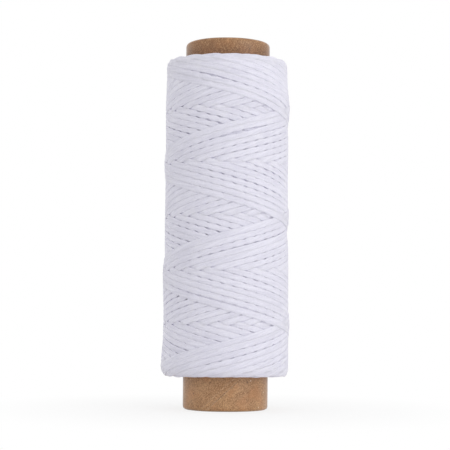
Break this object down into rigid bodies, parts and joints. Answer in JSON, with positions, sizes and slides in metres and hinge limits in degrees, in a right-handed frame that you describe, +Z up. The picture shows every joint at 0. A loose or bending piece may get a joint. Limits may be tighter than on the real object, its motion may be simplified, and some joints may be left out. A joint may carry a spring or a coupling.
{
  "type": "waxed thread spool",
  "caption": "Waxed thread cross wound in a tall package on a paper tube that is open from end to end.",
  "frame": {"origin": "middle of the paper tube's lower end, in the plane it stands on", "axes": "+Z up along the tube's axis, from the long bare end of the tube to the short one"},
  "size_m": [0.0256, 0.0256, 0.075],
  "materials": {
    "waxed_thread": "waxed, soft sheen",
    "kraft_board": "matte"
  },
  "bodies": {
    "root": {"core_liner_ply": "kraft_board", "core_body_ply_inner": "kraft_board", "core_body_ply_outer": "kraft_board", "core_outer_ply": "kraft_board", "thread_inner_layers": "waxed_thread", "thread_outer_winding": "waxed_thread"}
  },
  "joints": []
}
